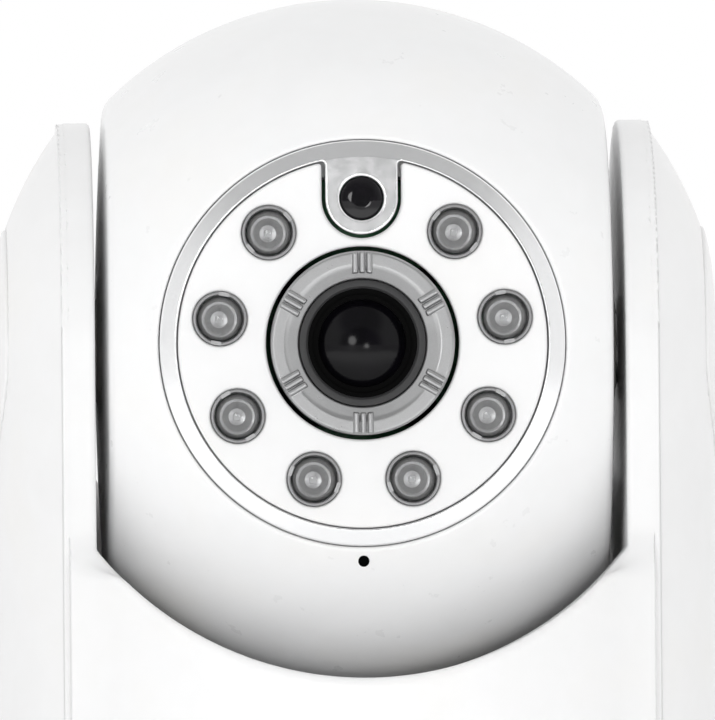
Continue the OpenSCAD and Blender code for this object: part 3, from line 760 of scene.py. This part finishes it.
cover_xs = spaced((33.0, 0.12), (33.8, 0.5), (42.6, 1))
cover_ys = spaced((-26.4, 0.5), (26.4, 1))
cover_zs = spaced((-51.8, 0.5), (26.4, 1))
cap_xs = spaced((38.2, 0.3), (42.2, 1))
cap_disc = spaced((-14.4, 0.3), (14.4, 1))
for hand, sign in (("left", -1), ("right", 1)):
    shape = surface_of(cover_form, np.sort(sign * cover_xs), cover_ys, cover_zs)
    piece(f"arm_cover_{hand}_skin", shape, "yoke_white", "yoke", [f"arm_cover_{hand}"])
    shape = surface_of(cap_form, np.sort(sign * cap_xs), cap_disc, cap_disc)
    piece(f"pivot_cap_{hand}_skin", shape, "yoke_white", "yoke", [f"pivot_cap_{hand}"])


# ---- Face ----

def tab_form(x, z, r):
    """A tongue from the ring's inside down to a round end about the light sensor."""
    neck = np.maximum(np.abs(x) - r, LAMP_PITCH - z)
    return np.minimum(length(x, z - LAMP_PITCH) - r, neck)


def plate_form(x, y, z):
    """The white plate, hollow behind, with holes for the lens, the lamps and the ring's tab."""
    r = length(x, z)
    depth = -y
    form = both(both(r - 20.95, depth - FACE_FRONT, 0.3), FACE_BACK - depth, 0.1)
    form = without(form, np.maximum(r - 19.45, depth - FACE_FRONT + 2), 0.1)
    form = without(form, r - LENS_GAP_R, 0.35)
    for cx, cz in LAMP_CENTRES:
        form = without(form, length(x - cx, z - cz) - 3.1, 0.3)
    return without(form, tab_form(x, z, TAB_R + 0.4), 0.55)


def ring_form(x, y, z):
    """The silver trim ring and its tab, sloping down outwards from the plate's edge."""
    r = length(x, z)
    depth = -y
    tab = both(tab_form(x, z, TAB_R), r - 22.0)
    outline = either(both(r - 23.0, FACE_R - r), tab, 0.6)
    crown = 33.35 - 0.316 * np.maximum(r - FACE_R, 0) + 0.03 * np.maximum(FACE_R - r, 0)
    form = both(outline, depth - crown, 0.18)
    foot = np.where(r > FACE_R, FACE_BACK, FACE_BACK + 1)
    form = both(form, foot - depth, 0.05)
    return without(form, length(x, z - LAMP_PITCH) - 2.5, 0.25)


disc = spaced((-21.2, 0.16), (21.2, 1))
shape = surface_of(plate_form, disc, spaced((-33.5, 0.14), (-30.2, 1)), disc)
piece("lamp_plate_face", shape, "face_white", "head", ["lamp_plate"])
disc = spaced((-23.3, 0.15), (23.3, 1))
shape = surface_of(ring_form, disc, spaced((-34.4, 0.13), (-30.2, 1)), disc)
piece("face_ring_trim", shape, "satin_silver", "head", ["face_ring"])
pane = rounded([(0, 31.6), (2.45, 31.6, 0.1), (2.45, 32.9, 0.3), (1.2, 33.12, 3), (0, 33.15)])
shape = turned(pane, "front", (0, 0, LAMP_PITCH))
piece("sensor_window_lens", shape, "dark_window", "head", ["sensor_window"])


def placed(bar, along, across, at):
    """A bar drawn along -Y, laid with its outline's u and v along two directions of the face."""
    points, faces = bar
    moved = points[:, :1] * along + points[:, 2:] * across
    moved[:, 1] = points[:, 1]
    return moved + at, faces


# Each lamp is clear resin over a small cup, its chip and two lead posts. A collar with two catches
# holds it in the plate.
LAMP_R = 2.5
dome_angles = np.linspace(0, math.pi / 2, 20)
dome = [(LAMP_R * math.sin(t), 32.7 + LAMP_R * math.cos(t)) for t in dome_angles]
resin = dome + rounded([(LAMP_R, 27.6), (2.9, 27.6, 0.15), (2.9, 26.6, 0.15), (0, 26.6)])
cup = rounded([
    (0, 31.0), (0.42, 31.0, 0.05), (0.86, 31.62, 0.05), (1.02, 31.62, 0.05), (1.0, 30.4, 0.1), (0, 30.2)])
collar = rounded([(2.56, 31.2), (2.56, 32.6, 0.1), (2.72, 33.5, 0.1), (3.05, 33.5, 0.12), (3.05, 31.2)])
post = prism(oblong(0.55, 0.25, 0.08), 27.0, 30.9)
catch = prism(oblong(0.6, 0.22, 0.1), 32.0, 33.62)
frames, catches, chips, collars = [], [], [], []
for number, ((cx, cz), angle) in enumerate(zip(LAMP_CENTRES, LAMP_ANGLES), 1):
    centre = (cx, 0, cz)
    shape = turned(resin, "front", centre, 72)
    piece(f"ir_lamp_{number}_resin", shape, "clear_lamp", "head", [f"ir_lamp_{number}"])
    frames.append(turned(cup, "front", centre, 48))
    tangent = np.array([-math.sin(angle), 0, math.cos(angle)])
    radial = np.array([math.cos(angle), 0, math.sin(angle)])
    for sign in (-1, 1):
        frames.append(placed(post, tangent, radial, np.array(centre) + tangent * sign * 1.45))
        catches.append(placed(catch, radial, tangent, np.array(centre) + tangent * sign * 2.8))
    chips.append(prism(oblong(0.16, 0.16), 31.0, 31.16, "front", centre))
    collars.append(turned(collar, "front", centre, 72))
piece("lamp_lead_frames", joined(frames), "bright_cup", "head")
piece("lamp_catches", joined(catches), "grey_silver", "head")
piece("lamp_chips", joined(chips), "button_grey", "head")
piece("lamp_collars", joined(collars), "bright_cup", "head", ["lamp_cups"])


# ---- Lens ----

BARREL_R = 7.2


def grip_form(x, y, z):
    """The focus ring: a funnel inside, and six groups of three short ribs on its front."""
    r = length(x, z)
    depth = -y
    angle = np.arctan2(z, x)
    bore = BARREL_R + 0.05
    funnel = depth - (33.0 + (r - bore) / 1.45)
    form = both(both(r - 10.45, bore - r, 0.12), depth - 34.0, 0.38)
    form = both(form, np.minimum(funnel, depth - 30.3), 0.22)
    form = both(form, 30.2 - depth, 0.1)
    sixth = math.pi / 3
    off = (angle - math.pi / 2 + sixth / 2) % sixth - sixth / 2
    across = r * np.sin(off)
    crest = np.abs((across + 0.4) % 0.8 - 0.4) - 0.31
    rib = both(np.maximum(crest, np.abs(across) - 1.11), depth - 34.42, 0.28)
    rib = both(both(rib, np.abs(r - 9.1) - 1.15, 0.15), 33.3 - depth)
    return either(form, rib, 0.1)


disc = spaced((-10.7, 0.11), (10.7, 1))
shape = surface_of(grip_form, disc, spaced((-34.7, 0.11), (-30.0, 1)), disc)
piece("focus_ring_grip", shape, "grey_silver", "focus", ["focus_ring"])
barrel = rounded([
    (6.0, 14.5), (6.0, 24.0), (BARREL_R, 24.0, 0.1), (BARREL_R, 33.0, 0.15), (6.45, 33.0, 0.12),
    (6.2, 32.7, 0.1), (5.9, 31.2), (5.0, 31.2), (5.0, 14.5)], 4)
shape = turned(barrel, "front", segments=128)
piece("lens_barrel_body", shape, "black_plastic", "focus", ["lens_barrel"])
baffle = rounded([
    (6.18, 31.2), (6.18, 32.66, 0.05), (5.7, 32.3, 0.05), (5.5, 31.8, 0.05), (5.0, 31.6, 0.05),
    (5.0, 31.2)])
shape = turned(baffle, "front", segments=128)
piece("lens_baffle", shape, "flock_black", "focus")
GLASS_R = 4.98
bulge = 9.0
rim = math.sqrt(bulge**2 - GLASS_R**2)
curve = [(r, 31.0 + math.sqrt(bulge**2 - r**2) - rim) for r in np.linspace(0, GLASS_R, 24)]
lens = curve + rounded([(GLASS_R, 28.6), (3.6, 28.6, 0.2), (0, 29.6)])
piece("front_lens_glass", turned(lens, "front", segments=96), "lens_glass", "focus", ["front_lens"])


# ---- Base: heights are above the floor ----

DECK_Z = 30.0
SOCKET_Z = 15.0
POCKET_X = 18.0
POCKET_UP = 7.0
POCKET_Y = 40.0


def base_side(z):
    """Radius of the flared side at each height."""
    t = np.clip((26.0 - z) / 22.0, 0, 1)
    return 44.0 + 6.0 * t**1.8


def base_form(x, y, z, inset=0.0):
    """The flared base, or the space inside it when inset; 0.93 allows for the side's slant."""
    side = (length(x, y) - base_side(z) + inset) * 0.93
    form = both(side, z - DECK_Z + inset, 4.0 - min(inset, 2.0))
    return both(form, 1.2 - z, 0.6) if inset == 0 else form


def housing_form(x, y, z):
    """The hollow housing, with the socket pocket behind and a hole for the status light in front."""
    up = z - SOCKET_Z
    behind = 36 - y
    form = without(base_form(x, y, z), base_form(x, y, z, WALL))
    pocket = both(box_2d(x, up, POCKET_X + WALL, POCKET_UP + WALL, 1.5), POCKET_Y - WALL - y)
    shell = np.minimum(form, both(pocket, base_form(x, y, z, 0.3)))
    notch = both(box_2d(x, up, POCKET_X, POCKET_UP, 1.5), POCKET_Y - y, 0.6)
    shell = without(shell, notch, 0.8)
    shaft_hole = length(x, y) - 12.05
    shell = without(shell, shaft_hole, 0.3)
    socket = np.maximum(length(x + 11, up) - 3.3, behind)
    shell = without(shell, socket, 0.25)
    button = np.maximum(length(x - 12, up) - 2.6, behind)
    shell = without(shell, button, 0.25)
    switch = np.maximum(box_2d(x - 1, up, 3.2, 1.5, 0.4), behind)
    shell = without(shell, switch, 0.2)
    light = np.maximum(length(x, up) - 1.6, y + 36)
    return without(shell, light, 0.2)


xs = spaced((-50.4, 0.8), (-20.8, 0.3), (20.8, 0.8), (50.4, 1))
ys = spaced((-50.4, 0.6), (36.0, 0.35), (50.4, 1))
zs = spaced((0.8, 0.3), (4.0, 0.5), (30.4, 1))
shape = surface_of(housing_form, xs, ys, zs)
piece("base_housing_body", shape, "base_white", "base", ["base_housing"], lift=0)
foot = rounded([(0, 0), (4.2, 0, 0.4), (5.0, 0.5, 0.3), (5.0, 2.2), (0, 2.2)])
FEET = [(x, y) for x in (-28, 28) for y in (-28, 28)]
shape = joined([turned(foot, "up", (x, y, 0), 64) for x, y in FEET])
piece("rubber_feet_pads", shape, "rubber", "base", ["rubber_feet"], lift=0)


# ---- Floor, light and camera: metres and watts ----

paper = Recipe("studio_paper")
paper.colour(paper.ramp(paper.noise(60, 3), (0.3, (0.8865, 0.8865, 0.8865)), (0.7, (0.9, 0.9, 0.9))))
paper.roughness(paper.span(paper.noise(9, 3), 0.65, 0.75))
paper.bump(paper.noise(1.5, 3), 0.01)

reach = 3.0
corners = [(-reach, -reach, 0), (reach, -reach, 0), (reach, reach, 0), (-reach, reach, 0)]
table = bpy.data.meshes.new("studio_floor")
table.from_pydata(corners, [], [(0, 1, 2, 3)])
floor = bpy.data.objects.new("studio_floor", table)
bpy.context.scene.collection.objects.link(floor)
table.materials.append(LOOKS["studio_paper"])

# The sky is white but for two dim lobes in front, at two heights in degrees, that the lens and the
# silver mirror. A lobe's soft edge lies between two cosines of the angle from its middle.
LOBE_EDGES = (0.8, 0.94)
world = bpy.data.worlds.new("studio")
bpy.context.scene.world = world
world.use_nodes = True
sky = world.node_tree.nodes
links = world.node_tree.links
direction = sky.new("ShaderNodeTexCoord").outputs["Generated"]
shade = None
for height, low in ((0.0, 0.2), (35.0, 0.42)):
    lobe = sky.new("ShaderNodeVectorMath")
    lobe.operation = "DOT_PRODUCT"
    lobe.inputs[1].default_value = (0.0, -math.cos(math.radians(height)), math.sin(math.radians(height)))
    links.new(direction, lobe.inputs[0])
    fall = sky.new("ShaderNodeMapRange")
    fall.interpolation_type = "SMOOTHSTEP"
    for key, number in zip(("From Min", "From Max", "To Min", "To Max"), (*LOBE_EDGES, 1.0, low)):
        fall.inputs[key].default_value = number
    links.new(lobe.outputs["Value"], fall.inputs["Value"])
    darkest = sky.new("ShaderNodeMath")
    darkest.operation = "MINIMUM"
    darkest.inputs[1].default_value = 1.0
    links.new(fall.outputs["Result"], darkest.inputs[0])
    if shade:
        links.new(shade, darkest.inputs[1])
    shade = darkest.outputs[0]
sky["Background"].inputs["Color"].default_value = (1, 1, 1, 1)
links.new(shade, sky["Background"].inputs["Strength"])


def softbox(name, place, aim, shape, size, power, mirrored=True):
    """An area light; one that isn't mirrored shows in no reflection and not to the camera."""
    data = bpy.data.lights.new(name, "AREA")
    data.shape, data.size, data.size_y, data.energy = shape, size[0], size[1], power
    made = bpy.data.objects.new(name, data)
    made.location = place
    made.rotation_mode = "QUATERNION"
    made.rotation_quaternion = (Vector(aim) - Vector(place)).to_track_quat("-Z", "Y")
    made.visible_glossy = made.visible_camera = mirrored
    bpy.context.scene.collection.objects.link(made)


softbox("key_left", (-0.2, -0.9, 0.16), (0, 0, 0.08), "ELLIPSE", (0.17, 0.2), 0.6)
softbox("fill_right", (0.12, -0.9, 0.03), (0, 0, 0.08), "ELLIPSE", (0.1, 0.12), 0.22)
softbox("low_front", (-0.25, -1.6, 0.15), (0, 0, 0.07), "RECTANGLE", (1.8, 0.28), 4.6, mirrored=False)
softbox("floor_bounce", (0, -0.3, 0.06), (0, -0.3, 0), "RECTANGLE", (0.7, 0.25), 0.8, mirrored=False)

azimuth = math.radians(-1.85)
elevation = math.radians(-1.36)
roll = math.radians(-0.45)
distance = 2.6
width_seen = 0.0826
target = Vector((0.00047, 0, AXIS_Z * MM - 0.00115))
level = math.cos(elevation)
away = Vector((math.sin(azimuth) * level, -math.cos(azimuth) * level, math.sin(elevation)))
lens_data = bpy.data.cameras.new("camera")
camera = bpy.data.objects.new("camera", lens_data)
bpy.context.scene.collection.objects.link(camera)
camera.location = target + away * distance
camera.rotation_mode = "QUATERNION"
camera.rotation_quaternion = away.to_track_quat("Z", "Y") @ Quaternion((0, 0, 1), roll)
lens_data.lens = lens_data.sensor_width * distance / width_seen
lens_data.clip_start, lens_data.clip_end = 0.1, 20
bpy.context.scene.camera = camera
bpy.context.scene.view_settings.view_transform = "Standard"
